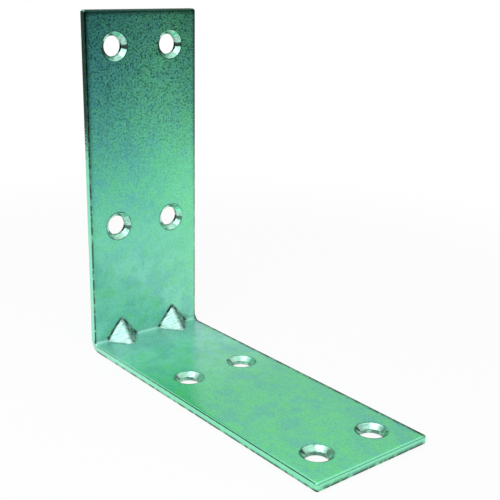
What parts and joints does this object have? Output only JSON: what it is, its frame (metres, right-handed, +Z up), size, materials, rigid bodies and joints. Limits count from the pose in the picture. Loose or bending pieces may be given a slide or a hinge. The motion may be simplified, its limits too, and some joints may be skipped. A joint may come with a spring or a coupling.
{
  "type": "corner brace bracket",
  "caption": "Equal-legged corner brace folded from one strip of zinc-plated sheet steel, with countersunk screw holes in both legs and stiffening darts pressed into the fold.",
  "frame": {"origin": "at the heel, where the planes of the two outer faces meet, in the middle of the strip's width", "axes": "+X along the lying leg, +Z up the standing leg, +Y across the strip; the lying leg's outer face is on Z = 0 and the standing leg's on X = 0"},
  "size_m": [0.108, 0.0408, 0.108],
  "materials": {
    "zinc_plate": "dull zinc plating with a blue-green cast, fine grain and faint clouding, brighter on the sheared edges"
  },
  "bodies": {
    "root": {"bracket": "zinc_plate"}
  },
  "joints": []
}
